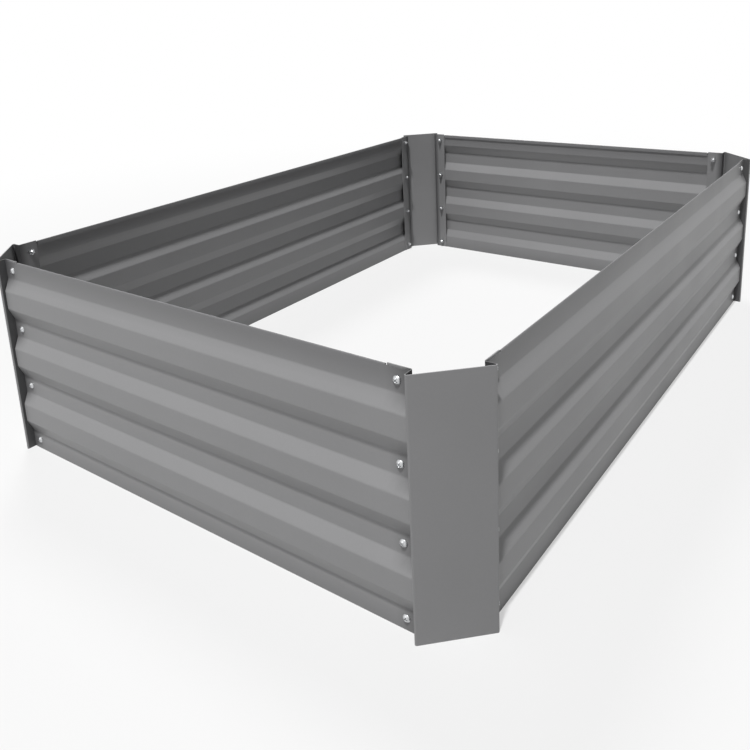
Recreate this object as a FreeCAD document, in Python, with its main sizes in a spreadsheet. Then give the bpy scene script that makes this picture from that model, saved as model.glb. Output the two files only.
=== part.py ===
import FreeCAD, Part
import os
import re
import Sketcher

# Raised garden bed: four ribbed sheet-steel walls, screwed to four folded corner posts.
# The bed is open at the top and at the bottom and stands on its lower edges.
# Frame: +Z up, X along the long walls, the front wall towards -Y.
# The origin is on the ground, in the middle of the bed. All sizes are in millimetres.

SIZES = [
    # the whole bed, measured over the corner posts
    ("bed_length", 1200, "outside length, along X"),
    ("bed_width", 830, "outside width, along Y"),
    ("bed_height", 300, "height of the corner posts"),
    # corner posts
    ("post_sheet", 1.2, "sheet thickness of the posts"),
    ("post_bend", 1.0, "inside radius of the folds"),
    ("corner_leg", 64.5, "from the bed's virtual corner to the post's return"),
    ("flange_setback", 13.5, "from the outermost plane back to the flange"),
    ("flange_width", 28, "from the return to the flange's free edge"),
    # walls
    ("wall_sheet", 0.8, "sheet thickness of the walls"),
    ("wall_bend", 2.5, "inside radius of the bends between rib and valley"),
    ("wall_drop", 1.0, "from the top of the posts down to the walls' top edge"),
    ("end_gap", 0.5, "from a wall's end to the post's fold"),
    ("rib_pitch", 90, "from one rib to the next, and from one screw to the next"),
    ("rib_flat", 27.5, "height of a rib's outer flat"),
    ("rib_rise", 18, "height of a rib's slanting side"),
    ("rib_depth", 8, "how far a rib stands out of the wall"),
    # folded top edge of the walls
    ("hem_height", 7, "height of the folded edge"),
    ("hem_bend", 0.4, "inside radius of the folded edge"),
    ("hem_gap", 2, "from the folded edge's end to the post's flange"),
    # screws and nuts
    ("screw_inset", 16.5, "from the post's return to the screw's axis"),
    ("least_edge", 12, "least height of the lowest screw above the lower edge"),
    ("shank_width", 5, "diameter of the screw's shank"),
    ("tip_length", 3.5, "how far the screw stands out of its nut"),
    ("head_width", 9.5, "diameter of the screw's head"),
    ("head_height", 3, "height of the domed head"),
    ("nut_width", 8, "nut, across its flats"),
    ("nut_height", 4.5, "height of the nut"),
    ("hole_gap", 0.25, "all round the shank in its hole"),
    ("thread_gap", 0.05, "all round the shank in its nut"),
]

# each side: its name, its turn about Z, and the neighbours at its -X and +X ends when unturned
SIDES = [
    ("front", 0, "left", "right"),
    ("right", 90, "front", "back"),
    ("back", 180, "right", "left"),
    ("left", 270, "back", "front"),
]
# each corner post: its name, its turn about Z, and on which side of the middle it stands
POSTS = [
    ("front_left_corner", 0, -1, -1),
    ("front_right_corner", 90, 1, -1),
    ("back_right_corner", 180, 1, 1),
    ("back_left_corner", 270, -1, 1),
]
TINY = 1e-4

doc = FreeCAD.newDocument("RaisedGardenBed")
sheet = doc.addObject("Spreadsheet::Sheet", "Sizes")
for row, (alias, number, meaning) in enumerate(SIZES, start=1):
    sheet.set("A%d" % row, alias)
    sheet.set("B%d" % row, str(number))
    sheet.set("C%d" % row, meaning)
    sheet.setAlias("B%d" % row, alias)
doc.recompute()


# ---- formulas over the driving dimensions ----

def formula(text):
    """The text with the sheet's name put before each driving dimension."""
    return re.sub(r"\b[a-z]+_[a-z]+\b", r"Sizes.\g<0>", text)


def value(text):
    """What a formula comes to, as a plain number."""
    return float(sheet.evalExpression(formula(text)))


def bind(item, place, text):
    """Ties a property of an object to a formula."""
    item.setExpression(place, formula(text))


# ---- sketches and features ----

def origin_part(body, role):
    """A plane or an axis of the body's own origin."""
    return [item for item in body.Origin.OriginFeatures if item.Role == role][0]


def new_body(name, side_turn):
    """A body named after its piece and turned about Z."""
    body = doc.addObject("PartDesign::Body", name)
    body.Label = name
    upright = FreeCAD.Rotation(FreeCAD.Vector(0, 0, 1), side_turn)
    body.Placement = FreeCAD.Placement(FreeCAD.Vector(), upright)
    return body


def new_sketch(body, name, role):
    """An empty sketch on a plane of the body's own origin."""
    sketch = body.newObject("Sketcher::SketchObject", name)
    sketch.AttachmentSupport = (origin_part(body, role), [""])
    sketch.MapMode = "FlatFace"
    return sketch


def limit(sketch, kind, first, second, text):
    """A distance between two points of a sketch, or a radius, tied to a formula."""
    number = sketch.addConstraint(Sketcher.Constraint(kind, *first, *second, value(text)))
    bind(sketch, "Constraints[%d]" % number, text)


def pin(sketch, point, across, up):
    """Pins a point of a sketch at two distances from the sketch's origin."""
    limit(sketch, "DistanceX", (-1, 1), point, across)
    limit(sketch, "DistanceY", (-1, 1), point, up)


def outline(sketch, corners):
    """A closed outline of straight lines, each corner pinned by its pair of formulas."""
    points = [FreeCAD.Vector(value(across), value(up), 0) for across, up in corners]
    lines = [Part.LineSegment(a, b) for a, b in zip(points, points[1:] + points[:1])]
    numbers = sketch.addGeometry(lines, False)
    for here, following in zip(numbers, list(numbers[1:]) + [numbers[0]]):
        sketch.addConstraint(Sketcher.Constraint("Coincident", here, 2, following, 1))
    for here, (across, up) in zip(numbers, corners):
        pin(sketch, (here, 1), across, up)


def round_hole(sketch, across, up, radius):
    """A circle with its middle pinned by formulas."""
    middle = FreeCAD.Vector(value(across), value(up), 0)
    upward = FreeCAD.Vector(0, 0, 1)
    circle = sketch.addGeometry(Part.Circle(middle, upward, value(radius)), False)
    pin(sketch, (circle, 3), across, up)
    limit(sketch, "Radius", (circle,), (), radius)


def pad(body, name, sketch, length, sides="One side", reverse=False):
    """The sketch drawn out to a length."""
    feature = body.newObject("PartDesign::Pad", name)
    feature.Profile = sketch
    feature.SideType = sides
    feature.Reversed = reverse
    bind(feature, "Length", length)
    doc.recompute()
    return feature


def edges_through(feature, direction, corners, lift):
    """Names of the straight edges along a direction that pass through the outline's corners."""
    places = [Part.Vertex(lift(value(across), value(up))) for across, up in corners]
    names = []
    for number, edge in enumerate(feature.Shape.Edges, start=1):
        along = edge.tangentAt(edge.FirstParameter)
        parallel = along.cross(direction).Length < TINY
        if parallel and any(edge.distToShape(place)[0] < TINY for place in places):
            names.append("Edge%d" % number)
    return names


def round_edges(body, name, feature, edges, radius):
    """Rounds the named edges of the last feature."""
    fillet = body.newObject("PartDesign::Fillet", name)
    fillet.Base = (feature, edges)
    bind(fillet, "Radius", radius)
    doc.recompute()
    return fillet


def repeat_up(body, name, feature):
    """Repeats a feature in every screw row, from the lowest one up."""
    pattern = body.newObject("PartDesign::LinearPattern", name)
    pattern.Originals = [feature]
    pattern.Direction = (origin_part(body, "Z_Axis"), [""])
    pattern.Mode = "Spacing"
    bind(pattern, "Offset", "rib_pitch")
    pattern.Occurrences = ROW_COUNT
    body.Tip = pattern
    doc.recompute()
    return pattern


def drill_rows(body, name, role, columns):
    """Clearance holes for the screws in every row of the given columns."""
    before = body.Shape.Volume
    sketch = new_sketch(body, name + "_sketch", role)
    for across in columns:
        round_hole(sketch, across, LOWEST_ROW, "shank_width / 2 + hole_gap")
    pocket = body.newObject("PartDesign::Pocket", name)
    pocket.Profile = sketch
    pocket.Type = "ThroughAll"
    pocket.SideType = "Symmetric"
    doc.recompute()
    pattern = repeat_up(body, name + "_rows", pocket)
    if body.Shape.Volume > before - TINY:
        raise RuntimeError("%s cuts nothing in %s" % (name, body.Label))
    return pattern


# ---- levels shared by the pieces ----

# ribs lie between the screw rows, and the rows lie evenly about half the height
RIB_COUNT = int(value("(bed_height - 2 * least_edge) / rib_pitch"))
ROW_COUNT = RIB_COUNT + 1
LOWEST_ROW = "bed_height / 2 - %d * rib_pitch / 2" % RIB_COUNT

# depths behind a side's outermost plane
VALLEY = "(flange_setback - wall_sheet)"
CREST = "(flange_setback - wall_sheet - rib_depth)"
NUT_SEAT = "(flange_setback + post_sheet)"
SHEET_TOP = "(bed_height - wall_drop - hem_bend - wall_sheet)"


# ---- corner posts ----
# A post is folded from one strip: flange, return, slanting face, return, flange.
# Its own frame has the bed's virtual corner at the origin and runs into the bed along +X and +Y.

def mirrored(corners):
    """The same corners on the other leg of the post."""
    return [(up, across) for across, up in corners]


def make_post(name, side_turn, across_sign, along_sign):
    body = new_body(name, side_turn)
    bind(body, "Placement.Base.x", "%d * bed_length / 2" % across_sign)
    bind(body, "Placement.Base.y", "%d * bed_width / 2" % along_sign)

    # half the section, from the flange's free edge to the fold at the slanting face;
    # the fold's sharp corner lies so far out that the rounded fold just meets the outermost plane
    outside = [
        ("corner_leg + flange_width", "flange_setback"),
        ("corner_leg", "flange_setback"),
        ("corner_leg", "-(post_bend + post_sheet) * sqrt(2)"),
    ]
    inside = [
        ("corner_leg + flange_width", "flange_setback + post_sheet"),
        ("corner_leg - post_sheet", "flange_setback + post_sheet"),
        ("corner_leg - post_sheet", "post_sheet - post_bend * sqrt(2)"),
    ]
    section = new_sketch(body, "post_section", "XY_Plane")
    outline(section, outside + mirrored(outside)[::-1] + mirrored(inside) + inside[::-1])
    strip = pad(body, "post_strip", section, "bed_height")

    # folds: the hollow side of each has the inside radius, the other side that and the sheet
    upright = FreeCAD.Vector(0, 0, 1)

    def lift(across, up):
        return FreeCAD.Vector(across, up, 0)

    hollow = [outside[1], inside[2]]
    edges = edges_through(strip, upright, hollow + mirrored(hollow), lift)
    folds = round_edges(body, "inner_folds", strip, edges, "post_bend")
    round_side = [outside[2], inside[1]]
    edges = edges_through(folds, upright, round_side + mirrored(round_side), lift)
    round_edges(body, "outer_folds", folds, edges, "post_bend + post_sheet")

    # one column of holes through each flange; each is drilled square to its own flange
    drill_rows(body, "side_holes", "XZ_Plane", ["corner_leg + screw_inset"])
    drill_rows(body, "end_holes", "YZ_Plane", ["corner_leg + screw_inset"])
    return body


# ---- walls ----
# A wall's own frame has its side's outermost plane at Y = 0, +Y into the bed and X along the wall.

def place_on_side(body, turn, offset):
    """Puts a body at an offset along its side, measured from the side's middle."""
    along = {0: (1, 0), 90: (0, 1), 180: (-1, 0), 270: (0, -1)}[turn]
    bind(body, "Placement.Base.x", "%d * bed_length / 2 + %d * (%s)" % (along[1], along[0], offset))
    bind(body, "Placement.Base.y", "%d * bed_width / 2 + %d * (%s)" % (-along[0], along[1], offset))


def side_length(turn):
    """The driving dimension that gives a side's length."""
    return "bed_length" if turn in (0, 180) else "bed_width"


def wall_section():
    """Corners of the wall's section: its outer face from the bottom up, its inner face down."""
    mitre = "wall_sheet * tan(atan(rib_depth / rib_rise) / 2)"
    outer = [(VALLEY, "0")]
    inner = [("flange_setback", "0")]
    for rib in range(RIB_COUNT):
        middle = "(%s + %d * rib_pitch / 2)" % (LOWEST_ROW, 2 * rib + 1)
        for sign in (-1, 1):
            foot = "%s + %d * (rib_flat / 2 + rib_rise)" % (middle, sign)
            crest = "%s + %d * rib_flat / 2" % (middle, sign)
            for depth, level in [(VALLEY, foot), (CREST, crest)][::-sign]:
                outer.append((depth, level))
                inner.append((depth + " + wall_sheet", "%s - %d * %s" % (level, sign, mitre)))
    outer.append((VALLEY, SHEET_TOP))
    inner.append(("flange_setback", SHEET_TOP))
    return outer, inner


def make_hem(body, length):
    """The top edge folded over inwards; it stops short of the posts' flanges."""
    sketch = new_sketch(body, "hem_section", "YZ_Plane")
    upward = FreeCAD.Vector(0, 0, 1)
    middle_across = "flange_setback + hem_bend"
    low = "bed_height - wall_drop - hem_height"
    middle = FreeCAD.Vector(value(middle_across), value(SHEET_TOP), 0)
    arcs = []
    for radius in ("hem_bend + wall_sheet", "hem_bend"):
        circle = Part.Circle(middle, upward, value(radius))
        half_turn = Part.ArcOfCircle(circle, 0, value("pi"))
        arc = sketch.addGeometry(half_turn, False)
        limit(sketch, "Radius", (arc,), (), radius)
        sketch.addConstraint(Sketcher.Constraint("Horizontal", arc, 1, arc, 3))
        sketch.addConstraint(Sketcher.Constraint("Horizontal", arc, 2, arc, 3))
        arcs.append(arc)
    sketch.addConstraint(Sketcher.Constraint("Coincident", arcs[0], 3, arcs[1], 3))
    pin(sketch, (arcs[0], 3), middle_across, SHEET_TOP)

    # the folded leg hangs from the arcs' inner ends, and a short line closes their outer ends
    far = middle + FreeCAD.Vector(value("hem_bend + wall_sheet"), 0, 0)
    near = middle + FreeCAD.Vector(value("hem_bend"), 0, 0)
    down = FreeCAD.Vector(0, value(low) - middle.y, 0)
    outside = middle - FreeCAD.Vector(value("hem_bend + wall_sheet"), 0, 0)
    inside = middle - FreeCAD.Vector(value("hem_bend"), 0, 0)
    points = [far, far + down, near + down, near]
    legs = [Part.LineSegment(a, b) for a, b in zip(points, points[1:])]
    first, foot, last = sketch.addGeometry(legs, False)
    seam = sketch.addGeometry(Part.LineSegment(inside, outside), False)
    for joint in [
        (arcs[0], 1, first, 1),
        (first, 2, foot, 1),
        (foot, 2, last, 1),
        (last, 2, arcs[1], 1),
        (arcs[1], 2, seam, 1),
        (seam, 2, arcs[0], 2),
    ]:
        sketch.addConstraint(Sketcher.Constraint("Coincident", *joint))
    sketch.addConstraint(Sketcher.Constraint("Vertical", first))
    sketch.addConstraint(Sketcher.Constraint("Vertical", last))
    sketch.addConstraint(Sketcher.Constraint("Horizontal", foot))
    limit(sketch, "DistanceY", (-1, 1), (foot, 1), low)
    return pad(body, "hem", sketch, length, sides="Symmetric")


def make_wall(name, turn):
    side = side_length(turn)
    body = new_body(name, turn)
    place_on_side(body, turn, "0")

    # the ribbed sheet, drawn out along the side between the posts' folds
    outer, inner = wall_section()
    section = new_sketch(body, "wall_section", "YZ_Plane")
    outline(section, outer + inner[::-1])
    length = "%s - 2 * (corner_leg + post_bend + end_gap)" % side
    ribbed = pad(body, "ribbed_sheet", section, length, sides="Symmetric")

    # bends: at each foot of a rib the outer face is hollow, at each crest the inner face is
    lengthwise = FreeCAD.Vector(1, 0, 0)

    def lift(across, up):
        return FreeCAD.Vector(0, across, up)

    bends = range(1, len(outer) - 1)
    feet = [index for index in bends if outer[index][0] == VALLEY]
    crests = [index for index in bends if outer[index][0] == CREST]
    hollow = [outer[index] for index in feet] + [inner[index] for index in crests]
    edges = edges_through(ribbed, lengthwise, hollow, lift)
    bent = round_edges(body, "inner_bends", ribbed, edges, "wall_bend")
    round_side = [inner[index] for index in feet] + [outer[index] for index in crests]
    edges = edges_through(bent, lengthwise, round_side, lift)
    round_edges(body, "outer_bends", bent, edges, "wall_bend + wall_sheet")

    make_hem(body, "%s - 2 * (corner_leg + flange_width + hem_gap)" % side)
    column = "(%s / 2 - corner_leg - screw_inset)" % side
    drill_rows(body, "screw_holes", "XZ_Plane", ["-" + column, column])
    return body


# ---- screws and nuts ----
# Their own frame has the side's outermost plane at Y = 0 and the column's axes at X = 0.

def make_screws(name, turn, offset):
    """A column of domed screws whose heads bear on the wall's valleys."""
    body = new_body(name, turn)
    body.AllowCompound = True
    place_on_side(body, turn, offset)
    sketch = new_sketch(body, "screw_section", "YZ_Plane")
    tip = NUT_SEAT + " + nut_height + tip_length"
    head_edge = "(%s + head_width / 2)" % LOWEST_ROW
    shank_edge = "(%s + shank_width / 2)" % LOWEST_ROW
    corners = [
        (VALLEY, head_edge),
        (VALLEY, shank_edge),
        (tip, shank_edge),
        (tip, LOWEST_ROW),
        (VALLEY + " - head_height", LOWEST_ROW),
    ]
    points = [FreeCAD.Vector(value(across), value(up), 0) for across, up in corners]
    lines = [Part.LineSegment(a, b) for a, b in zip(points, points[1:])]
    numbers = list(sketch.addGeometry(lines, False))
    for here, following in zip(numbers, numbers[1:]):
        sketch.addConstraint(Sketcher.Constraint("Coincident", here, 2, following, 1))
    for here, (across, up) in zip(numbers, corners):
        pin(sketch, (here, 1), across, up)
    pin(sketch, (numbers[-1], 2), *corners[-1])

    # the dome is part of a ball whose middle lies on the screw's axis
    ball = value("((head_width / 2) ^ 2 + head_height ^ 2) / (2 * head_height)")
    middle = points[-1] + FreeCAD.Vector(ball, 0, 0)
    circle = Part.Circle(middle, FreeCAD.Vector(0, 0, 1), ball)
    start = circle.parameter(points[0])
    dome = sketch.addGeometry(Part.ArcOfCircle(circle, start, value("pi")), False)
    sketch.addConstraint(Sketcher.Constraint("Coincident", dome, 1, numbers[0], 1))
    sketch.addConstraint(Sketcher.Constraint("Coincident", dome, 2, numbers[-1], 2))
    sketch.addConstraint(Sketcher.Constraint("Horizontal", dome, 3, numbers[-1], 2))

    turned = body.newObject("PartDesign::Revolution", "turned_screw")
    turned.Profile = sketch
    turned.ReferenceAxis = (sketch, ["Edge%d" % (numbers[-1] + 1)])
    turned.Angle = 360
    doc.recompute()
    repeat_up(body, "screw_rows", turned)
    return body


def make_nuts(name, turn, offset):
    """A column of hexagon nuts that bear on the post's flange from inside the bed."""
    body = new_body(name, turn)
    body.AllowCompound = True
    place_on_side(body, turn, offset)
    sketch = new_sketch(body, "nut_section", "XZ_Plane")
    corners = []
    for corner in range(6):
        across = "nut_width / sqrt(3) * cos(60 * %d)" % corner
        up = "%s + nut_width / sqrt(3) * sin(60 * %d)" % (LOWEST_ROW, corner)
        corners.append((across, up))
    outline(sketch, corners)
    round_hole(sketch, "0", LOWEST_ROW, "shank_width / 2 + thread_gap")
    bind(sketch, "AttachmentOffset.Base.z", "-" + NUT_SEAT)
    nut = pad(body, "nut", sketch, "nut_height", reverse=True)
    repeat_up(body, "nut_rows", nut)
    return body


# ---- the whole bed ----

pieces = {}
for name, turn, across_sign, along_sign in POSTS:
    pieces[name] = (make_post(name, turn, across_sign, along_sign), 1)
for name, turn, start_end, far_end in SIDES:
    pieces[name + "_panel"] = (make_wall(name + "_panel", turn), 1)
    column = "(%s / 2 - corner_leg - screw_inset)" % side_length(turn)
    for end, offset in ((start_end, "-" + column), (far_end, column)):
        screws = make_screws("%s_screws_%s" % (name, end), turn, offset)
        nuts = make_nuts("%s_nuts_%s" % (name, end), turn, offset)
        pieces[screws.Label] = (screws, ROW_COUNT)
        pieces[nuts.Label] = (nuts, ROW_COUNT)
doc.recompute()

# ---- checks, then one file per piece ----

for item in doc.Objects:
    if "Invalid" in item.State or "Error" in item.State:
        raise RuntimeError("%s failed: %s" % (item.Label, item.State))
for name, (body, solids) in pieces.items():
    shape = body.Shape
    if shape.isNull() or not shape.isValid() or len(shape.Solids) != solids:
        raise RuntimeError("%s is not %d good solids" % (name, solids))

os.makedirs("parts", exist_ok=True)
for name, (body, solids) in pieces.items():
    body.Shape.exportStep("parts/%s.step" % name)
    box = body.Shape.BoundBox
    print("%-22s %d solids  %9.1f mm3  x %.1f..%.1f  y %.1f..%.1f  z %.1f..%.1f" % (
        name, solids, body.Shape.Volume,
        box.XMin, box.XMax, box.YMin, box.YMax, box.ZMin, box.ZMax,
    ))
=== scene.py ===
# %% [markdown]
# # A raised garden bed of ribbed sheet steel
# The bed is four ribbed walls screwed to four folded corner posts. The CAD model gives every
# size and place, and it is loaded here as a fixed frame, in metres: X runs along the long
# walls, Z is up, and the origin is on the ground in the middle of the bed. The script then
# builds each piece again the way it is really made, from flat sheet, so that it has the
# rounded bends, the folded edge, the punched holes and the finish that the eye expects.

# %% Load the frame
import math
import bmesh
import bpy
from mathutils import Matrix, Quaternion, Vector


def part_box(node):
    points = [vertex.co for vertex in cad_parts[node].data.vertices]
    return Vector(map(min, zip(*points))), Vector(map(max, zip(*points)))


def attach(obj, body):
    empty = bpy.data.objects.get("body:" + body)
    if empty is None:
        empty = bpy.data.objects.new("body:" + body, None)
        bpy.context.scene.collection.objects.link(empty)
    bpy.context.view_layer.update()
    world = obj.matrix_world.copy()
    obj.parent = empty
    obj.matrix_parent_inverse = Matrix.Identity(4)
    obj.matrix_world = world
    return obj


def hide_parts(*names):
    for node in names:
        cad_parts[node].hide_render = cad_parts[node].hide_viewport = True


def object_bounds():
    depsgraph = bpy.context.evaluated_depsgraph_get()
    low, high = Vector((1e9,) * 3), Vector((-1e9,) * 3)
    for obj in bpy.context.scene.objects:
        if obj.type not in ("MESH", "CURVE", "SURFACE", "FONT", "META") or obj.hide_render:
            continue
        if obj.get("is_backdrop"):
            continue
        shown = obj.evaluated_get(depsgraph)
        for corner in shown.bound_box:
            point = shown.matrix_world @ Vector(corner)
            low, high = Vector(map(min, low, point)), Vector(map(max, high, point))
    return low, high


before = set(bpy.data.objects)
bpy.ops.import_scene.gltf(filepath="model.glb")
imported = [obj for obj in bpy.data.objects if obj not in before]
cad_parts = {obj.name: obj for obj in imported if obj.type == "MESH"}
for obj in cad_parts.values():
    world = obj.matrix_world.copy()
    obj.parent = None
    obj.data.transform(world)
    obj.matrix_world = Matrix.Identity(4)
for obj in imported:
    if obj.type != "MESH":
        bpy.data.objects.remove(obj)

MM = 0.001
cad_low, cad_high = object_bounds()
bed_length = cad_high.x - cad_low.x
bed_width = cad_high.y - cad_low.y
bed_height = cad_high.z - cad_low.z
print("bed", [round(size / MM, 1) for size in (bed_length, bed_width, bed_height)], "mm")

# %% [markdown]
# ## The sizes of the sheets
# Nobody can see a sheet's thickness from a step away, but its edge catches the light along the
# whole top of the bed. So both sheets keep their real thickness. The other sizes are those of
# the CAD model: a corner post stands out furthest, and a wall's valleys lie behind it, on the
# post's flange.

# %% Sizes of posts and walls
post_sheet = 1.2 * MM
post_bend = 1.0 * MM
corner_leg = 64.5 * MM
flange_setback = 13.5 * MM
flange_width = 28 * MM
wall_sheet = 0.8 * MM
wall_drop = 1.0 * MM
rib_count = 3
rib_pitch = 90 * MM
rib_flat = 27.5 * MM
rib_rise = 18 * MM
rib_depth = 8 * MM
hem_height = 7 * MM
hem_bend = 0.4 * MM
hem_gap = 2 * MM
screw_inset = 16.5 * MM
hole_width = 5.5 * MM
valley = flange_setback - wall_sheet
rows = [bed_height / 2 + (row - rib_count / 2) * rib_pitch for row in range(rib_count + 1)]
print("screw rows at", [round(row / MM) for row in rows], "mm")

# %% [markdown]
# ## One way to add a node
# Materials and Geometry Nodes are both trees of nodes. Drawn by hand, each node is picked, set
# and wired; written down, that is one call: what kind of node, what goes into its inputs, and
# which settings it has. An input takes a plain value, the output of another node, or just the
# other node, which then gives its first output.

# %% A helper for nodes, and one for colours
def add(tree, kind, inputs=None, **settings):
    """Adds a node, sets it up, and fills or links its inputs."""
    node = tree.nodes.new(kind)
    for name, value in settings.items():
        setattr(node, name, value)
    for socket, value in (inputs or {}).items():
        if isinstance(value, bpy.types.Node):
            value = value.outputs[0]
        if isinstance(value, bpy.types.NodeSocket):
            tree.links.new(value, node.inputs[socket])
        else:
            node.inputs[socket].default_value = value
    return node


def linear(hex_colour, alpha=1.0):
    """An sRGB hex colour as the linear values that a shader works with."""
    parts = [int(hex_colour[i:i + 2], 16) / 255 for i in (1, 3, 5)]
    light = [p / 12.92 if p <= 0.04045 else ((p + 0.055) / 1.055) ** 2.4 for p in parts]
    return (*light, alpha)


print("mid grey is", [round(part, 3) for part in linear("#808080")[:3]])

# %% [markdown]
# ## Powder-coated galvanised steel
# Dry powder is sprayed on the sheet and melted into a satin film. Three things tell the eye that it is
# powder coat and not wet paint. The film has a fine orange-peel ripple. Its tone and gloss are a little
# uneven over a hand's width. And a thin sheet is never quite flat, so long soft waves bend its
# reflections. On top of that, shade is painted into the coat: the walls turn darker towards the folded
# edge and towards the ground, and the narrow corner between a wall and the short return of a post is
# much darker. The lamps alone didn't give this shade, so it is painted as darker tones of the coat.

# %% Material: the tone of the powder coat, and its painted shade
cloud_width = 110 * MM
speck_width = 3 * MM  # a grain of powder is a tenth of a millimetre, too fine to show


def coat_colour_and_painted_shade(tree, place, clouds, light_hex, dark_hex, height_shade_bands, corner_shade_hex):
    """The coat's colour: two close tones, painted shade in bands by height, and painted shade in the
    corners.
    """
    specks = add(tree, "ShaderNodeTexNoise", {"Vector": place, "Scale": 1 / speck_width, "Detail": 1.0})
    both = add(tree, "ShaderNodeMix", {0: 0.25, 2: clouds, 3: specks})
    paint = add(tree, "ShaderNodeMix", {0: both, 6: linear(dark_hex), 7: linear(light_hex)},
                data_type="RGBA").outputs[2]
    height = add(tree, "ShaderNodeSeparateXYZ", {0: place}).outputs["Z"]
    # each band is painted shade: the coat turns darker towards one end of its span of height
    for start, end, band_shade_hex in height_shade_bands:
        share = add(tree, "ShaderNodeMapRange", {"Value": height, "From Min": start, "From Max": end})
        paint = add(tree, "ShaderNodeMix", {0: share, 6: paint, 7: linear(band_shade_hex)},
                    data_type="RGBA").outputs[2]
    # painted shade in the corner beside a post, read from each point's number
    corner_shade_weight = add(tree, "ShaderNodeAttribute", attribute_name="corner_shade_weight").outputs["Fac"]
    return add(tree, "ShaderNodeMix", {0: corner_shade_weight, 6: paint, 7: linear(corner_shade_hex)},
               data_type="RGBA").outputs[2]


print("clouds", round(cloud_width / MM), "mm wide, specks", round(speck_width / MM), "mm")

# %% Material: powder-coated sheet steel
wave_width, wave_height = 160 * MM, 2 * MM
peel_width, peel_height = 5 * MM, 0.15 * MM  # real orange peel is 1 mm wide, too fine to show


def powder_coat(name, light_hex, dark_hex, roughness, corner_shade_hex, height_shade_bands=()):
    """A satin film over sheet metal: tone, uneven gloss, long waves and orange peel."""
    material = bpy.data.materials.new(name)
    material.use_nodes = True
    tree = material.node_tree
    tree.nodes.clear()
    place = add(tree, "ShaderNodeTexCoord").outputs["Object"]
    clouds = add(tree, "ShaderNodeTexNoise", {"Vector": place, "Scale": 1 / cloud_width, "Detail": 4.0})
    paint = coat_colour_and_painted_shade(tree, place, clouds, light_hex, dark_hex, height_shade_bands, corner_shade_hex)
    gloss = add(tree, "ShaderNodeMapRange", {
        "Value": clouds, "From Min": 0.3, "From Max": 0.7,
        "To Min": roughness - 0.04, "To Max": roughness + 0.04,
    })
    waves = add(tree, "ShaderNodeTexNoise", {"Vector": place, "Scale": 1 / wave_width, "Detail": 0.0})
    bent = add(tree, "ShaderNodeBump", {"Height": waves, "Strength": 0.5, "Distance": wave_height})
    peel = add(tree, "ShaderNodeTexNoise", {"Vector": place, "Scale": 1 / peel_width, "Detail": 2.0})
    ripple = add(tree, "ShaderNodeBump", {
        "Height": peel, "Strength": 0.25, "Distance": peel_height, "Normal": bent,
    })
    film = add(tree, "ShaderNodeBsdfPrincipled", {
        "Base Color": paint, "Roughness": gloss, "Metallic": 0.0, "IOR": 1.5, "Normal": ripple,
    })
    add(tree, "ShaderNodeOutputMaterial", {"Surface": film})
    print(name, light_hex, dark_hex)
    return material


# painted shade: the dark grey of the corner beside a post's return
corner_shade_grey = "#444445"
top_band, ground_band = 38 * MM, 24 * MM
# painted shade: the walls' coat turns darker towards the folded edge and towards the ground
wall_coat = powder_coat("powder_coated_wall_sheet", "#838384", "#79797a", 0.42, height_shade_bands=[
    (bed_height - top_band, bed_height, "#656566"),
    (ground_band, 0.0, "#707071"),
], corner_shade_hex=corner_shade_grey)
# the posts' coat is the walls' coat a touch darker: painted shade on the posts' faces
post_coat = powder_coat("powder_coated_post_sheet", "#7f7f80", "#757576", 0.45, corner_shade_hex=corner_shade_grey)

# %% [markdown]
# ## Bright zinc
# The screws and nuts are zinc-plated steel. Electroplated zinc is a bright, slightly bluish
# metal with a soft haze, because the plating grows as fine crystals. So it is a metal with a
# pale colour, and a roughness that wanders a little over each head.

# %% Material: zinc plating
crystal_width = 1.5 * MM  # real crystals are a few hundredths of a millimetre, too fine to show
grain_height = 0.05 * MM


def zinc_plate(name, light_hex, dark_hex):
    """Hazy bright metal in two close tones."""
    material = bpy.data.materials.new(name)
    material.use_nodes = True
    tree = material.node_tree
    tree.nodes.clear()
    place = add(tree, "ShaderNodeTexCoord").outputs["Object"]
    crystals = add(tree, "ShaderNodeTexNoise", {
        "Vector": place, "Scale": 1 / crystal_width, "Detail": 3.0,
    })
    colour = add(tree, "ShaderNodeMix", {0: crystals, 6: linear(dark_hex), 7: linear(light_hex)},
                 data_type="RGBA").outputs[2]
    haze = add(tree, "ShaderNodeMapRange", {
        "Value": crystals, "From Min": 0.3, "From Max": 0.7, "To Min": 0.22, "To Max": 0.38,
    })
    grain = add(tree, "ShaderNodeBump", {"Height": crystals, "Strength": 0.3, "Distance": grain_height})
    metal = add(tree, "ShaderNodeBsdfPrincipled", {
        "Base Color": colour, "Metallic": 1.0, "Roughness": haze, "Normal": grain,
    })
    add(tree, "ShaderNodeOutputMaterial", {"Surface": metal})
    print(name, light_hex, dark_hex)
    return material


screw_zinc = zinc_plate("zinc_plated_screw_steel", "#d4d5d6", "#b2b4b6")
nut_zinc = zinc_plate("zinc_plated_nut_steel", "#c8c9ca", "#a6a8aa")

# %% [markdown]
# ## A flat blank
# Both kinds of sheet begin as a flat blank with its holes already punched, because a hole is
# far easier to punch in flat metal. The blank is a grid whose lines are put where the sheet
# will bend later and round each hole. The one square that holds a hole is swapped for a ring
# of triangles round a circle. Parts of the grid can be notched away.

# %% Punch a flat blank
HOLE_STEPS = 24


def punch(sheet, face, middle):
    """Swaps a square face for triangles round a hole."""
    edges = list(face.edges)
    sheet.faces.remove(face)
    turns = [2 * math.pi * step / HOLE_STEPS for step in range(HOLE_STEPS)]
    radius = hole_width / 2
    ring = [sheet.verts.new(middle + Vector((math.cos(t), 0, math.sin(t))) * radius) for t in turns]
    edges += [sheet.edges.new(pair) for pair in zip(ring, ring[1:] + ring[:1])]
    bmesh.ops.triangle_fill(sheet, use_beauty=True, edges=edges, normal=(0, -1, 0))


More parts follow.
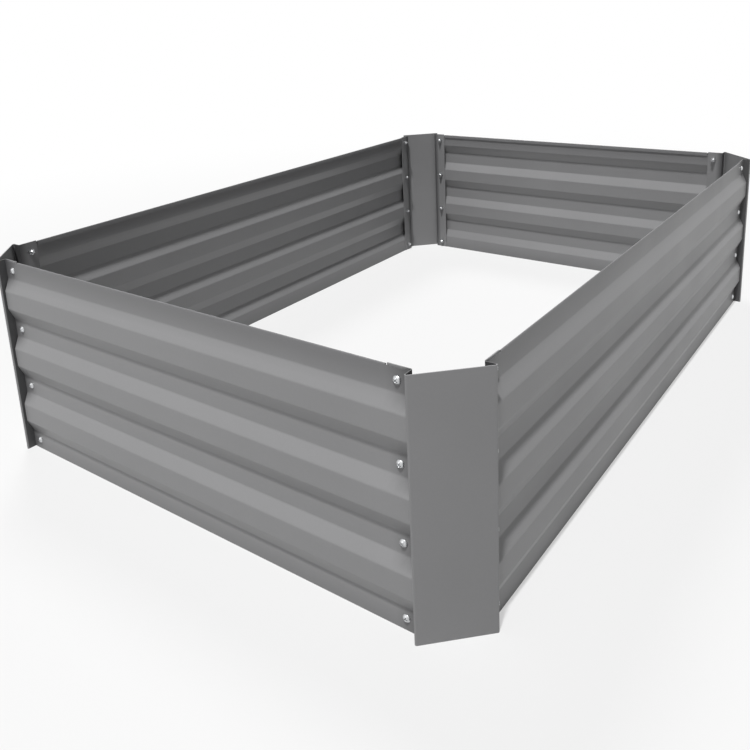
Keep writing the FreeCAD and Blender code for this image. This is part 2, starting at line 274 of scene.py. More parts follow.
def flat_blank(columns, levels, holes, notched=lambda x, z: False):
    """A flat sheet in X and Z, with round holes, and without the faces that are notched."""
    sheet = bmesh.new()
    grid = [[sheet.verts.new((x, 0, z)) for x in columns] for z in levels]
    for low_row, high_row in zip(grid, grid[1:]):
        for a, b, c, d in zip(low_row, low_row[1:], high_row[1:], high_row):
            middle = (a.co + c.co) / 2
            if notched(middle.x, middle.z):
                continue
            face = sheet.faces.new((a, b, c, d))
            if any((middle - hole).length < hole_width / 4 for hole in holes):
                punch(sheet, face, middle)
    loose = [vertex for vertex in sheet.verts if not vertex.link_faces]
    bmesh.ops.delete(sheet, geom=loose, context="VERTS")
    bmesh.ops.recalc_face_normals(sheet, faces=sheet.faces)
    return sheet


cell = 0.95 * hole_width  # from a hole's middle to the grid lines round it
trial = flat_blank([-cell, cell], [-cell, cell], [Vector((0, 0, 0))])
print("one punched square:", len(trial.faces), "faces")
trial.free()

# %% [markdown]
# ## From a shape to a finished piece
# A modifier is a recipe, and a finished piece is a plain mesh. So a shape is first made an
# object, gets its thickness or its tree, and is then baked: Blender works the recipe out, and
# the result is turned and moved within its mesh, so that the object itself stays at the
# origin. Edges that turn by more than thirty degrees are kept sharp.

# %% Helpers that finish a piece
SHARP_TURN = math.radians(30)


def to_object(shape, name, material):
    """An object made from a bmesh or a mesh, with one material, linked into the scene."""
    mesh = shape
    if isinstance(shape, bmesh.types.BMesh):
        mesh = bpy.data.meshes.new(name)
        shape.to_mesh(mesh)
        shape.free()
    mesh.materials.clear()
    mesh.materials.append(material)
    piece = bpy.data.objects.new(name, mesh)
    bpy.context.scene.collection.objects.link(piece)
    return piece


def give_thickness(piece, thickness):
    """Thickens a sheet, half to each side."""
    solid = piece.modifiers.new("thickness", "SOLIDIFY")
    solid.thickness = thickness
    solid.offset = 0


def run_tree(piece, tree, **values):
    """Puts a tree on an object and sets its inputs, by the identifier of each socket."""
    modifier = piece.modifiers.new(tree.name, "NODES")
    modifier.node_group = tree
    for item in tree.interface.items_tree:
        if item.in_out == "INPUT" and item.name in values:
            modifier[item.identifier] = values[item.name]


def bake(piece, name, material, turn=0.0, move=(0, 0, 0)):
    """The piece with its modifiers worked out, turned about Z and moved, as a plain mesh."""
    bpy.context.view_layer.update()
    graph = bpy.context.evaluated_depsgraph_get()
    mesh = bpy.data.meshes.new_from_object(piece.evaluated_get(graph))
    mesh.name = name
    mesh.transform(Matrix.Translation(move) @ Matrix.Rotation(turn, 4, "Z"))
    mesh.set_sharp_from_angle(angle=SHARP_TURN)
    bpy.data.objects.remove(piece)
    print(name, len(mesh.polygons), "faces")
    return to_object(mesh, name, material)


print("edges stay sharp over", round(math.degrees(SHARP_TURN)), "degrees")

# %% [markdown]
# ## Roll-forming, as a rule
# A wall's shape follows a rule, so Geometry Nodes can do the roll-forming: the tree takes the
# flat blank and moves each point by its height alone. Counted from the lowest row of screws,
# the height goes to and fro between a valley and the next rib, which is what Ping-Pong gives.
# Map Range turns that into the rib's depth: nothing in the valley, the full depth on the flat,
# and a straight slope between.

# %% Geometry Nodes: the depth of a rib at a height
FLOAT, INTEGER = "NodeSocketFloat", "NodeSocketInt"
GEOMETRY, MATERIAL = "NodeSocketGeometry", "NodeSocketMaterial"


def new_tree(name, output, **inputs):
    """A Geometry Nodes tree with one output and the named inputs, each a kind of socket."""
    tree = bpy.data.node_groups.new(name, "GeometryNodeTree")
    tree.interface.new_socket(output[0], in_out="OUTPUT", socket_type=output[1])
    for label, kind in inputs.items():
        tree.interface.new_socket(label, in_out="INPUT", socket_type=kind)
    return tree


RIB_SIZES = ("Lowest screw", "Highest screw", "Pitch", "Rib flat", "Rib rise", "Rib depth")
rib_rule = new_tree(
    "rib depth at a height", ("Depth", FLOAT), Height=FLOAT, **dict.fromkeys(RIB_SIZES, FLOAT),
)
given = add(rib_rule, "NodeGroupInput").outputs
level = add(rib_rule, "ShaderNodeClamp", {
    "Value": given["Height"], "Min": given["Lowest screw"], "Max": given["Highest screw"],
})
above = add(rib_rule, "ShaderNodeMath", {0: level, 1: given["Lowest screw"]}, operation="SUBTRACT")
half_pitch = add(rib_rule, "ShaderNodeMath", {0: given["Pitch"], 1: 0.5}, operation="MULTIPLY")
to_and_fro = add(rib_rule, "ShaderNodeMath", {0: above, 1: half_pitch}, operation="PINGPONG")
crest = add(rib_rule, "ShaderNodeMath", {0: given["Rib flat"], 1: -0.5, 2: half_pitch},
            operation="MULTIPLY_ADD")
foot = add(rib_rule, "ShaderNodeMath", {0: crest, 1: given["Rib rise"]}, operation="SUBTRACT")
depth = add(rib_rule, "ShaderNodeMapRange", {
    "Value": to_and_fro, "From Min": foot, "From Max": crest,
    "To Min": 0.0, "To Max": given["Rib depth"],
})
add(rib_rule, "NodeGroupOutput", {"Depth": depth})
print("rib rule:", len(rib_rule.nodes), "nodes")

# %% [markdown]
# Real bends are round. The wall's tree asks the rule three times, a little below each point,
# at it and a little above, and takes the mean, with the middle one counted twice. On a flat
# or a slope that changes nothing, and at a bend it rounds the corner.

# %% Geometry Nodes: press the ribs
wall_tree = new_tree(
    "roll-formed wall", ("Geometry", GEOMETRY), Geometry=GEOMETRY, **dict.fromkeys(RIB_SIZES, FLOAT),
    Softness=FLOAT, Top=FLOAT, **{"Fold radius": FLOAT}, Material=MATERIAL,
)
given = add(wall_tree, "NodeGroupInput").outputs
point = add(wall_tree, "ShaderNodeSeparateXYZ", {0: add(wall_tree, "GeometryNodeInputPosition")}).outputs
depths = []
for share in (-1.0, 0.0, 1.0):
    height = add(wall_tree, "ShaderNodeMath", {0: given["Softness"], 1: share, 2: point["Z"]},
                 operation="MULTIPLY_ADD")
    depths.append(add(wall_tree, "GeometryNodeGroup", {
        "Height": height, **{name: given[name] for name in RIB_SIZES},
    }, node_tree=rib_rule))
outer_two = add(wall_tree, "ShaderNodeMath", {0: depths[0], 1: depths[2]}, operation="ADD")
all_four = add(wall_tree, "ShaderNodeMath", {0: depths[1], 1: 2.0, 2: outer_two},
               operation="MULTIPLY_ADD")
# the outside of a wall faces -Y while it is formed
outwards = add(wall_tree, "ShaderNodeMath", {0: all_four, 1: -0.25}, operation="MULTIPLY")
print("rib part of the wall tree:", len(wall_tree.nodes), "nodes")

# %% [markdown]
# The same tree folds the top edge over. Above the top of the wall the sheet runs round half a
# turn and then straight down again, so each point there is placed by how far it lies beyond
# the top: first as an angle, and past half a turn as a length.

# %% Geometry Nodes: fold the top edge
radius = given["Fold radius"]
over = add(wall_tree, "ShaderNodeMath", {0: point["Z"], 1: given["Top"]}, operation="SUBTRACT")
beyond = add(wall_tree, "ShaderNodeMath", {0: over, 1: 0.0}, operation="MAXIMUM")
half_turn = add(wall_tree, "ShaderNodeMath", {0: radius, 1: math.pi}, operation="MULTIPLY")
on_fold = add(wall_tree, "ShaderNodeMath", {0: beyond, 1: half_turn}, operation="MINIMUM")
straight = add(wall_tree, "ShaderNodeMath", {0: beyond, 1: on_fold}, operation="SUBTRACT")
angle = add(wall_tree, "ShaderNodeMath", {0: on_fold, 1: radius}, operation="DIVIDE")
cosine = add(wall_tree, "ShaderNodeMath", {0: angle}, operation="COSINE")
sine = add(wall_tree, "ShaderNodeMath", {0: angle}, operation="SINE")
one_less_cosine = add(wall_tree, "ShaderNodeMath", {0: 1.0, 1: cosine}, operation="SUBTRACT")
formed_y = add(wall_tree, "ShaderNodeMath", {0: radius, 1: one_less_cosine, 2: outwards},
               operation="MULTIPLY_ADD")
wall_z = add(wall_tree, "ShaderNodeMath", {0: point["Z"], 1: given["Top"]}, operation="MINIMUM")
risen_z = add(wall_tree, "ShaderNodeMath", {0: radius, 1: sine, 2: wall_z}, operation="MULTIPLY_ADD")
formed_z = add(wall_tree, "ShaderNodeMath", {0: risen_z, 1: straight}, operation="SUBTRACT")
formed = add(wall_tree, "ShaderNodeCombineXYZ", {"X": point["X"], "Y": formed_y, "Z": formed_z})
moved = add(wall_tree, "GeometryNodeSetPosition", {
    "Geometry": given["Geometry"], "Position": formed,
})
smooth = add(wall_tree, "GeometryNodeSetShadeSmooth", {"Geometry": moved})
real = add(wall_tree, "GeometryNodeRealizeInstances", {"Geometry": smooth})
coated = add(wall_tree, "GeometryNodeSetMaterial", {"Geometry": real, "Material": given["Material"]})
add(wall_tree, "NodeGroupOutput", {"Geometry": coated})
print("whole wall tree:", len(wall_tree.nodes), "nodes")

# %% [markdown]
# ## The four walls
# Each blank gets grid lines where it bends: five close together at each foot and crest of a
# rib, and seven round the folded edge. Of the five, the inner three shape the bend and the
# outer two keep the smooth shading inside it, so that the flats stay evenly lit and the bends
# look crisp.

# %% The grid lines of a wall
soft = 1.0 * MM
fold_radius = hem_bend + wall_sheet / 2
fold_steps = 6
sheet_top = bed_height - wall_drop - hem_bend - wall_sheet
wall_levels = [0.0, sheet_top]
for low_screw in rows[:-1]:
    middle = low_screw + rib_pitch / 2
    for bend in (rib_flat / 2, rib_flat / 2 + rib_rise):
        for step in (-2, -1, 0, 1, 2):
            wall_levels += [middle - bend + step * soft, middle + bend + step * soft]
wall_levels += [row + side * cell for row in rows for side in (-1, 1)]
fold_end = math.pi * fold_radius
wall_levels += [sheet_top + fold_end * (step + 1) / fold_steps for step in range(fold_steps)]
wall_levels += [sheet_top + fold_end + hem_height - hem_bend - wall_sheet]
wall_levels.sort()
print(len(wall_levels), "grid lines up a blank of", round(wall_levels[-1] / MM, 1), "mm")

# %% [markdown]
# The folded edge stops short of the posts' flanges, so the blank is notched at both upper corners. A
# wall is formed lying along X and is then turned to its own side of the bed, where it stands between the
# outermost plane and the flange. Each point of the blank also carries a number for the painted shade in
# the corner beside a post: most at the wall's ends, down in the valleys, and nothing on the crests. The
# coat's material reads it.

# %% Form the walls
SIDES = {"front": 0, "right": 1, "back": 2, "left": 3}  # in quarter turns
spans = 10
# how far from a wall's end the corner's painted shade reaches, and how strong it is at most
corner_shade_reach, corner_shade_share = 26 * MM, 0.7
valley_end = rib_pitch / 2 - rib_flat / 2
walls = {}
for side, quarter in SIDES.items():
    run, across = (bed_length, bed_width) if quarter % 2 == 0 else (bed_width, bed_length)
    low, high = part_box(side + "_panel")
    half_wall = max(high.x - low.x, high.y - low.y) / 2
    half_hem = run / 2 - corner_leg - flange_width - hem_gap
    column = run / 2 - corner_leg - screw_inset
    columns = [sign * x for sign in (-1, 1)
               for x in (half_wall, column + cell, column - cell, half_hem)]
    columns += [half_hem * (2 * step / spans - 1) for step in range(1, spans)]
    holes = [Vector((sign * column, 0, row)) for sign in (-1, 1) for row in rows]
    blank = flat_blank(sorted(columns), wall_levels, holes,
                       lambda x, z: z > sheet_top and abs(x) > half_hem)
    # painted shade beside a post: strongest at the wall's end and down in the valleys
    corner_shade_weight = blank.verts.layers.float.new("corner_shade_weight")
    for vertex in blank.verts:
        near_end = 1 - (half_wall - abs(vertex.co.x)) / corner_shade_reach
        in_valley = (valley_end - min(abs(vertex.co.z - row) for row in rows)) / rib_rise
        vertex[corner_shade_weight] = corner_shade_share * max(0.0, near_end) * min(1.0, max(0.0, in_valley))
    piece = to_object(blank, side + "_blank", wall_coat)
    run_tree(piece, wall_tree, **{
        "Lowest screw": rows[0], "Highest screw": rows[-1], "Pitch": rib_pitch, "Rib flat": rib_flat,
        "Rib rise": rib_rise, "Rib depth": rib_depth, "Softness": soft, "Top": sheet_top,
        "Fold radius": fold_radius, "Material": wall_coat,
    })
    give_thickness(piece, wall_sheet)
    turn = quarter * math.pi / 2
    seat = Vector((0, -across / 2 + valley + wall_sheet / 2, 0))
    seat.rotate(Quaternion((0, 0, 1), turn))
    walls[side] = bake(piece, side + "_wall", wall_coat, turn, seat)

# %% [markdown]
# ## The corner posts
# A post is one strip folded four times: a flange behind the wall's end, a short return that
# closes the gap, the broad slanting face, and the same again on the other side. A folding
# press makes such bends one by one. The script does the same with a path: the sharp corners
# are written down, each is rounded with the bend's radius, and the flat blank is laid along
# the path by length.

# %% The path that a post's strip is folded to
BEND_STEPS = 6


def rounded_path(corners, radius):
    """The corners joined by straight lines, with each bend a tangent arc."""
    path = [corners[0]]
    for before, corner, after in zip(corners, corners[1:], corners[2:]):
        back, ahead = (before - corner).normalized(), (after - corner).normalized()
        half = back.angle(ahead) / 2
        middle = corner + (back + ahead).normalized() * radius / math.sin(half)
        start = corner + back * radius / math.tan(half) - middle
        end = corner + ahead * radius / math.tan(half) - middle
        # slerp turns from one direction to the other and gives a length of 1
        shares = [step / BEND_STEPS for step in range(BEND_STEPS + 1)]
        path += [middle + start.slerp(end, share) * radius for share in shares]
    return path + [corners[-1]]


half_sheet = post_sheet / 2
bend_middle = post_bend + half_sheet
leg = [
    Vector((corner_leg + flange_width, flange_setback + half_sheet, 0)),
    Vector((corner_leg - half_sheet, flange_setback + half_sheet, 0)),
    Vector((corner_leg - half_sheet, half_sheet - bend_middle * math.sqrt(2), 0)),
]
path = rounded_path(leg + [Vector((p.y, p.x, 0)) for p in reversed(leg)], bend_middle)
lengths = [0.0]
for a, b in zip(path, path[1:]):
    lengths.append(lengths[-1] + (b - a).length)
strip_width = lengths[-1]
print("a post's strip is", round(strip_width / MM, 1), "mm wide before folding")

# %% [markdown]
# The strip carries the same number as the walls do, for painted shade: it is 1 on its two returns, which
# are painted dark as shade, and 0 elsewhere.

# %% Fold the posts
def along(path, distance):
    """The point at a distance along a path."""
    for a, b in zip(path, path[1:]):
        step = (b - a).length
        if distance <= step or b is path[-1]:
            return a + (b - a) * (distance / step)
        distance -= step


hole_at = flange_width - screw_inset
hole_places = [hole_at, strip_width - hole_at]
post_columns = sorted(lengths + [place + side * cell for place in hole_places for side in (-1, 1)])
post_levels = sorted([0.0, bed_height] + [row + side * cell for row in rows for side in (-1, 1)])
# a return runs from the first step of its inner bend to the first step of its outer bend
return_start, return_end = lengths[1] - 0.01 * MM, lengths[BEND_STEPS + 2] + 0.01 * MM

POSTS = {  # in quarter turns, and the signs of X and Y
    "front_left": (0, -1, -1), "front_right": (1, 1, -1),
    "back_right": (2, 1, 1), "back_left": (3, -1, 1),
}
posts = {}
for corner, (quarter, sign_x, sign_y) in POSTS.items():
    holes = [Vector((place, 0, row)) for place in hole_places for row in rows]
    blank = flat_blank(post_columns, post_levels, holes)
    # painted shade on the post's two returns
    corner_shade_weight = blank.verts.layers.float.new("corner_shade_weight")
    for vertex in blank.verts:
        from_edge = min(vertex.co.x, strip_width - vertex.co.x)
        vertex[corner_shade_weight] = 1.0 if return_start < from_edge < return_end else 0.0
        spot = along(path, vertex.co.x)
        vertex.co = (spot.x, spot.y, vertex.co.z)
    for face in blank.faces:
        face.smooth = True
    piece = to_object(blank, corner + "_strip", post_coat)
    give_thickness(piece, post_sheet)
    place = Vector((sign_x * bed_length / 2, sign_y * bed_width / 2, 0))
    posts[corner] = bake(piece, corner + "_post", post_coat, quarter * math.pi / 2, place)

# %% [markdown]
# ## Round things from a ring of points
# A screw and a nut are both made by turning a section round an axis. The helper below puts
# ring after ring of points along the section. A rule gives each point its radius and its
# shift along the axis from the angle, and that is enough to make a hexagon out of a circle,
# or a thread out of a shank.

# %% A helper for turned pieces
def turned(section, steps, rule=lambda index, angle, radius: (radius, 0.0), closed=False):
    """A section of (radius, place along the axis) pairs turned about the Y axis."""
    shape = bmesh.new()
    rings = []
    for index, (radius, place) in enumerate(section):
        ring = []
        for angle in [2 * math.pi * step / steps for step in range(steps if radius else 1)]:
            out, shift = rule(index, angle, radius)
            ring.append(shape.verts.new((out * math.cos(angle), place + shift, out * math.sin(angle))))
        rings.append(ring)
    for one, other in zip(rings, rings[1:] + (rings[:1] if closed else [])):
        for step in range(steps):
            after = (step + 1) % steps
            if len(one) == 1:
                shape.faces.new((one[0], other[step], other[after]))
            elif len(other) == 1:
                shape.faces.new((one[step], other[0], one[after]))
            else:
                shape.faces.new((one[step], other[step], other[after], one[after]))
    bmesh.ops.recalc_face_normals(shape, faces=shape.faces)
    for face in shape.faces:
        face.smooth = True
    return shape


trial = turned([(0, 0), (1 * MM, 0), (1 * MM, 2 * MM), (0, 2 * MM)], 8)
print("a plain pin:", len(trial.faces), "faces")
trial.free()

# %% [markdown]
# ## The screws
# These are small domed machine screws. The head is part of a ball on a short rim, with a cross
# recess for the driver. The thread only shows where the screw stands out of its nut, so only
# that end has ridges: the radius rises and falls once per turn and once per pitch, which winds
# the ridge round as a real thread does.

# %% The section of a screw
head_width, head_height, head_rim = 9.5 * MM, 3.0 * MM, 0.5 * MM
shank_width = 5.0 * MM
nut_width, nut_height = 8.0 * MM, 4.5 * MM
tip_length = 3.5 * MM
thread_pitch, thread_depth = 0.8 * MM, 0.35 * MM
nut_seat = flange_setback + post_sheet
screw_end = nut_seat + nut_height + tip_length
head_top = valley - head_height

dome_height = head_height - head_rim
ball = ((head_width / 2) ** 2 + dome_height ** 2) / (2 * dome_height)
widest = math.asin(head_width / 2 / ball)
dome_steps, edge = 8, 0.1 * MM
leans = [widest * step / dome_steps for step in range(dome_steps + 1)]
section = [(ball * math.sin(lean), head_top + ball * (1 - math.cos(lean))) for lean in leans]
section += [(head_width / 2, valley - edge), (head_width / 2 - edge, valley),
            (shank_width / 2, valley), (shank_width / 2, nut_seat + nut_height - thread_pitch)]
thread_start = len(section)
thread_rows = round((tip_length + thread_pitch / 2) / (thread_pitch / 4) - 0.5)
section += [(shank_width / 2, screw_end - (thread_rows - row) * thread_pitch / 4 - 0.3 * MM)
            for row in range(thread_rows + 1)]
section += [(shank_width / 2 - 0.5 * MM, screw_end), (0, screw_end)]
print("the dome is part of a ball", round(2 * ball / MM, 1), "mm across")
print("the thread has", thread_rows, "rings")

# %% Turn one screw
def thread(index, angle, radius):
    """The shank's radius, winding in and out by the thread's depth along its end."""
    if not thread_start <= index <= thread_start + thread_rows:
        return radius, 0.0
    turns = (index - thread_start) / 4 - angle / (2 * math.pi)
    return radius - thread_depth * abs(2 * (turns % 1) - 1), 0.0


screw = to_object(turned(section, 32, thread), "screw_turned", screw_zinc)
print("one screw:", len(screw.data.polygons), "faces")

# %% [markdown]
# The recess is cut with the shape of a driver's tip: a cross that tapers inwards. A Boolean
# takes it away from the dome, so the cross has real walls that catch the light.

# %% Sink the cross recess into its head
recess_depth, blade_length, blade_width, taper = 1.7 * MM, 6.2 * MM, 1.2 * MM, 0.55


def cross_ring(shape, place, share):
    """Twelve points round a cross, at a place along the screw's axis."""
    far, near = share * blade_length / 2, share * blade_width / 2
    points = [(far, -near), (far, near), (near, near)]
    for _ in range(3):
        points += [(-z, x) for x, z in points[-3:]]
    return [shape.verts.new((x, place, z)) for x, z in points]


driver = bmesh.new()
outside = cross_ring(driver, head_top - 0.5 * MM, 1.0)
inside = cross_ring(driver, head_top + recess_depth, taper)
driver.faces.new(outside)
driver.faces.new(reversed(inside))
for step in range(12):
    after = (step + 1) % 12
    driver.faces.new((outside[step], inside[step], inside[after], outside[after]))
bmesh.ops.recalc_face_normals(driver, faces=driver.faces)
driver_tip = to_object(driver, "driver_tip", screw_zinc)
cut = screw.modifiers.new("recess", "BOOLEAN")
cut.object = driver_tip
cut.solver = "EXACT"
screw = bake(screw, "screw_master", screw_zinc)
bpy.data.objects.remove(driver_tip)

# %% [markdown]
# ## The nuts
# A nut starts as hexagon bar. Its corners are then turned off at thirty degrees, which leaves
# the curved edge that every hexagon nut has, lower at the corners than in the middle of the
# flats. The radius rule gives the hexagon, and the height of the bevel follows from how far
# each point of it stands out.

# %% Turn one nut
bore = shank_width / 2 + 0.05 * MM
bevel_start = 0.95 * nut_width / 2
lead = 0.4 * MM
nut_top = nut_seat + nut_height
section = [
    (bore, nut_seat + lead), (bore + lead, nut_seat),
    (bevel_start, nut_seat), (nut_width / 2, nut_seat),
    (nut_width / 2, nut_top), (bevel_start, nut_top),
    (bore + lead, nut_top), (bore, nut_top - lead),
]


def hexagon(index, angle, radius):
    """The two outer rings drawn out to a hexagon, their corners bevelled."""
    if index not in (3, 4):
        return radius, 0.0
    sixth = math.pi / 3
    out = radius / math.cos((angle + sixth / 2) % sixth - sixth / 2)
    bevel = (out - bevel_start) * math.tan(math.radians(30))
    return out, bevel if index == 3 else -bevel


nut = to_object(turned(section, 48, hexagon, closed=True), "nut_turned", nut_zinc)
nut = bake(nut, "nut_master", nut_zinc)

# %% [markdown]
# ## Thirty-two of each
# Screws and nuts sit in the same columns: four above each other at both ends of every wall.
# The tree puts a line of points on the corners of two flat rectangles, one whose long edges
# are the long walls and one for the short walls. Each point gets one piece. It is turned to
# face out of its own wall, which follows from the sign of the point's place. It is also spun
# about its own axis by a random angle with a fixed seed, because no hand stops the driver at
# the same angle twice. One tree serves both pieces.

# %% Geometry Nodes: where the columns are, and which way they face
row_tree = new_tree("piece in every screw hole", ("Geometry", GEOMETRY), Geometry=GEOMETRY, **{
    "Bed length": FLOAT, "Bed width": FLOAT, "Column inset": FLOAT, "Lowest screw": FLOAT,
    "Pitch": FLOAT, "Rows": INTEGER, "Seed": INTEGER, "Material": MATERIAL,
})
given = add(row_tree, "NodeGroupInput").outputs
line = add(row_tree, "GeometryNodeMeshLine", {
    "Count": given["Rows"],
    "Start Location": add(row_tree, "ShaderNodeCombineXYZ", {"Z": given["Lowest screw"]}),
    "Offset": add(row_tree, "ShaderNodeCombineXYZ", {"Z": given["Pitch"]}),
}, mode="OFFSET")
point = add(row_tree, "ShaderNodeSeparateXYZ", {0: add(row_tree, "GeometryNodeInputPosition")}).outputs
is_back = add(row_tree, "ShaderNodeMath", {0: point["Y"], 1: 0.0}, operation="GREATER_THAN")
is_right = add(row_tree, "ShaderNodeMath", {0: point["X"], 1: 0.0}, operation="GREATER_THAN")
long_turn = add(row_tree, "ShaderNodeMath", {0: is_back, 1: math.pi}, operation="MULTIPLY")
short_turn = add(row_tree, "ShaderNodeMath", {0: is_right, 1: math.pi, 2: -math.pi / 2},
                 operation="MULTIPLY_ADD")
inner_length = add(row_tree, "ShaderNodeMath", {
    0: given["Column inset"], 1: -2.0, 2: given["Bed length"],
}, operation="MULTIPLY_ADD")
inner_width = add(row_tree, "ShaderNodeMath", {
    0: given["Column inset"], 1: -2.0, 2: given["Bed width"],
}, operation="MULTIPLY_ADD")
print("first half of the column tree:", len(row_tree.nodes), "nodes")

# %% Geometry Nodes: a piece on every point
joined = add(row_tree, "GeometryNodeJoinGeometry")
for pair, (size_x, size_y, turn) in enumerate((
    (inner_length, given["Bed width"], long_turn),
    (given["Bed length"], inner_width, short_turn),
)):
    plan = add(row_tree, "GeometryNodeMeshGrid", {
        "Size X": size_x, "Size Y": size_y, "Vertices X": 2, "Vertices Y": 2,
    })
    columns_here = add(row_tree, "GeometryNodeInstanceOnPoints", {"Points": plan, "Instance": line})
    points = add(row_tree, "GeometryNodeRealizeInstances", {"Geometry": columns_here})
    seed = add(row_tree, "ShaderNodeMath", {0: given["Seed"], 1: float(pair)}, operation="ADD")
    # inputs 2 and 3 are the lowest and highest number, 8 is the seed, and output 1 the number
    spin = add(row_tree, "FunctionNodeRandomValue", {2: 0.0, 3: 2 * math.pi, 8: seed},
               data_type="FLOAT").outputs[1]
    facing = add(row_tree, "ShaderNodeCombineXYZ", {"Y": spin, "Z": turn})
    placed = add(row_tree, "GeometryNodeInstanceOnPoints", {
        "Points": points, "Instance": given["Geometry"], "Rotation": facing,
    })
    row_tree.links.new(placed.outputs[0], joined.inputs[0])
real = add(row_tree, "GeometryNodeRealizeInstances", {"Geometry": joined})
plated = add(row_tree, "GeometryNodeSetMaterial", {"Geometry": real, "Material": given["Material"]})
add(row_tree, "NodeGroupOutput", {"Geometry": plated})
print("whole column tree:", len(row_tree.nodes), "nodes")

# %% Place the screws and the nuts
fasteners = {}
for name, master, zinc, seed in (("screws", screw, screw_zinc, 11), ("nuts", nut, nut_zinc, 23)):
    run_tree(master, row_tree, **{
        "Bed length": bed_length, "Bed width": bed_width, "Column inset": corner_leg + screw_inset,
        "Lowest screw": rows[0], "Pitch": rib_pitch, "Rows": len(rows), "Seed": seed, "Material": zinc,
    })
    fasteners[name] = bake(master, "all_" + name, zinc)

# %% [markdown]
# ## What each piece stands for
# The bed is one rigid body, so every piece rides on it. Each new piece stands for the CAD
# nodes of the same place, which stay in the simulation but aren't shown.

# %% Ride on the body and stand for the CAD nodes
for side, wall in walls.items():
    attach(wall, "root")
    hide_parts(side + "_panel")
for corner, post in posts.items():
    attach(post, "root")
    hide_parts(corner + "_corner")
for name, piece in fasteners.items():
    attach(piece, "root")
    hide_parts(*[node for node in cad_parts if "_" + name + "_" in node])
print(len(walls) + len(posts) + len(fasteners), "pieces stand for", len(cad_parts), "nodes")

# %% [markdown]
# ## Floor
# The bed stands on a plain pale floor that runs out of the picture. It does more than fill the
# background: nearly all the light on the walls' upright parts comes up from it. A matt floor
# is only as bright as the light on it, and lighting it to white would burn out the bed. So to
# the camera, and in reflections, the floor round the bed is a little over half a white glow,
# and for the rest the real matt surface, which shows the bed's shadow. Further out it turns
# all white, so that no horizon shows. To all other rays it is just matt.

# %% Floor
def seen_directly(tree):
    """1 where the camera or a reflection looks at a surface, and 0 where it only lights others."""
    rays = add(tree, "ShaderNodeLightPath").outputs
    either = add(tree, "ShaderNodeMath", {0: rays["Is Camera Ray"], 1: rays["Is Glossy Ray"]},
                 operation="MAXIMUM")
    return add(tree, "ShaderNodeMath", {0: either, 1: rays["Is Transmission Ray"]}, operation="MAXIMUM")


floor_shape = bmesh.new()
bmesh.ops.create_circle(floor_shape, cap_ends=True, segments=96, radius=30)
floor_paint = bpy.data.materials.new("matt_white_floor")
floor_paint.use_nodes = True
tree = floor_paint.node_tree
tree.nodes.clear()
matt = add(tree, "ShaderNodeBsdfDiffuse", {"Color": linear("#c6c6c6")})
glow = add(tree, "ShaderNodeEmission", {"Color": linear("#ffffff"), "Strength": 1.0})
place = add(tree, "ShaderNodeTexCoord").outputs["Object"]
away = add(tree, "ShaderNodeVectorMath", {0: place}, operation="LENGTH").outputs["Value"]
white = add(tree, "ShaderNodeMapRange", {
    "Value": away, "From Min": 0.9, "From Max": 2.6, "To Min": 0.55, "To Max": 1.0,
}, interpolation_type="SMOOTHSTEP")
share = add(tree, "ShaderNodeMath", {0: seen_directly(tree), 1: white}, operation="MULTIPLY")
both = add(tree, "ShaderNodeMixShader", {0: share, 1: matt, 2: glow})
add(tree, "ShaderNodeOutputMaterial", {"Surface": both})
floor = to_object(floor_shape, "floor", floor_paint)
floor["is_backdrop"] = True
print("floor", [round(size) for size in floor.dimensions], "m")
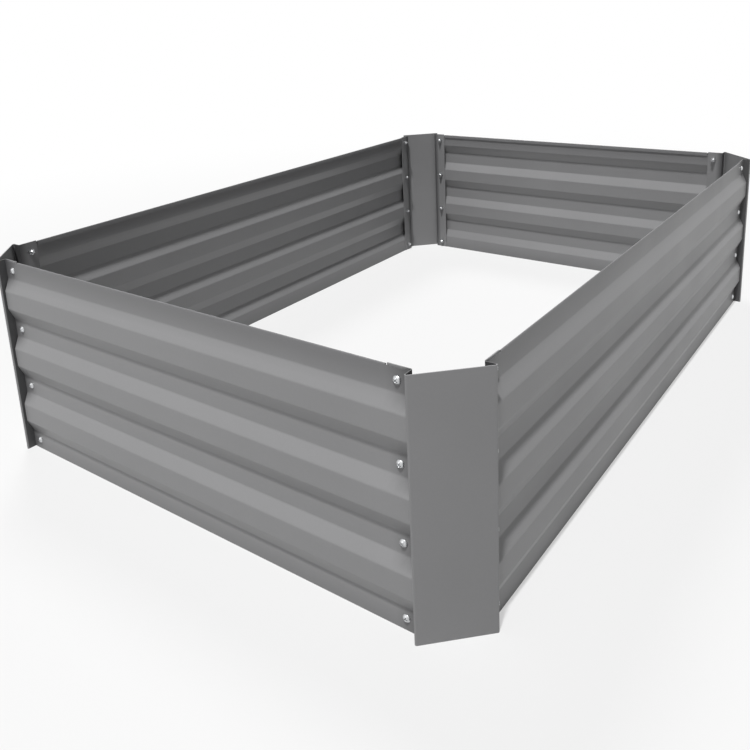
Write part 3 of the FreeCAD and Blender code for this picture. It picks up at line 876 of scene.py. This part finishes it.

# %% [markdown]
# ## Light
# The picture tells where its light came from. Each slope that faces up is bright, and on the long wall a
# rib's shadow covers the upper part of the slope below it, with a clear edge: so one lamp is almost
# overhead, a little to the left, and not very broad. The undersides are only a little darker than the
# upright parts, so the pale floor fills them. A soft lamp low down on the left gives that wall a little
# more than the others get, and one behind the bed is for the two sides that the picture doesn't show.
# The strengths started from a fit of the bed's tones and were then changed. Each is given as a share of
# the light that shows a colour just as it is written.

# %% Lamps
LAMPS = {  # name: (compass angle from +X, height angle, width seen from the bed, share)
    "overhead": (194, 70, 4, 1.27),
    "left": (150, 12, 40, 0.12),
    "behind": (52, 52, 16, 0.36),
}
for name, (compass, height, width, share) in LAMPS.items():
    lamp = bpy.data.lights.new(name + "_lamp", "SUN")
    lamp.energy = share * math.pi
    lamp.angle = math.radians(width)
    stand = bpy.data.objects.new(name + "_lamp", lamp)
    around, up = math.radians(compass), math.radians(height)
    towards = Vector((math.cos(up) * math.cos(around), math.cos(up) * math.sin(around), math.sin(up)))
    stand.rotation_mode = "QUATERNION"
    stand.rotation_quaternion = towards.to_track_quat("Z", "Y")
    bpy.context.scene.collection.objects.link(stand)
print("lamps:", ", ".join(LAMPS))

# %% [markdown]
# The world is a white room. It is seen as white, but it gives off only a little light, so
# that the shadows under the ribs keep their depth.

# %% Surroundings
world = bpy.data.worlds.new("white_studio")
world.use_nodes = True
bpy.context.scene.world = world
tree = world.node_tree
tree.nodes.clear()
strength = add(tree, "ShaderNodeMapRange", {
    "Value": seen_directly(tree), "To Min": 0.05, "To Max": 1.0,
})
sky = add(tree, "ShaderNodeBackground", {"Color": linear("#ffffff"), "Strength": strength})
add(tree, "ShaderNodeOutputWorld", {"Surface": sky})
print("surroundings:", len(tree.nodes), "nodes")

# %% [markdown]
# ## Camera
# The picture was taken close by, from above the front left corner, and then cropped: lines
# that are upright on the bed draw together downwards. A camera aimed straight at the bed
# can't show that, so the picture's middle is shifted down from the camera's axis. Place,
# direction and focal length come from a fit of the bed's edges to the picture.

# %% Camera
camera = bpy.data.cameras.new("camera")
camera.sensor_width = 36
camera.lens = 38.384
camera.shift_x = 0.0
camera.shift_y = -0.22
eye = bpy.data.objects.new("camera", camera)
eye.location = (-1.1544, -0.7386, 0.6326)
eye.rotation_mode = "QUATERNION"
aim = Vector((0.77739, 0.57731, -0.24976))
tilt = math.radians(-2.652)
eye.rotation_quaternion = aim.to_track_quat("-Z", "Y") @ Quaternion((0, 0, 1), tilt)
bpy.context.scene.collection.objects.link(eye)
bpy.context.scene.camera = eye
bpy.context.scene.view_settings.view_transform = "Standard"
print("camera", [round(part, 3) for part in eye.location])

# %% [markdown]
# Looks never change the size. The CAD model's box was measured before anything was made, and the
# finished bed's box is measured now. Both are printed.

# %% Measure the finished bed's size
low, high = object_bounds()
print("visual", [round(value / MM, 3) for value in (*low, *high)], "mm")
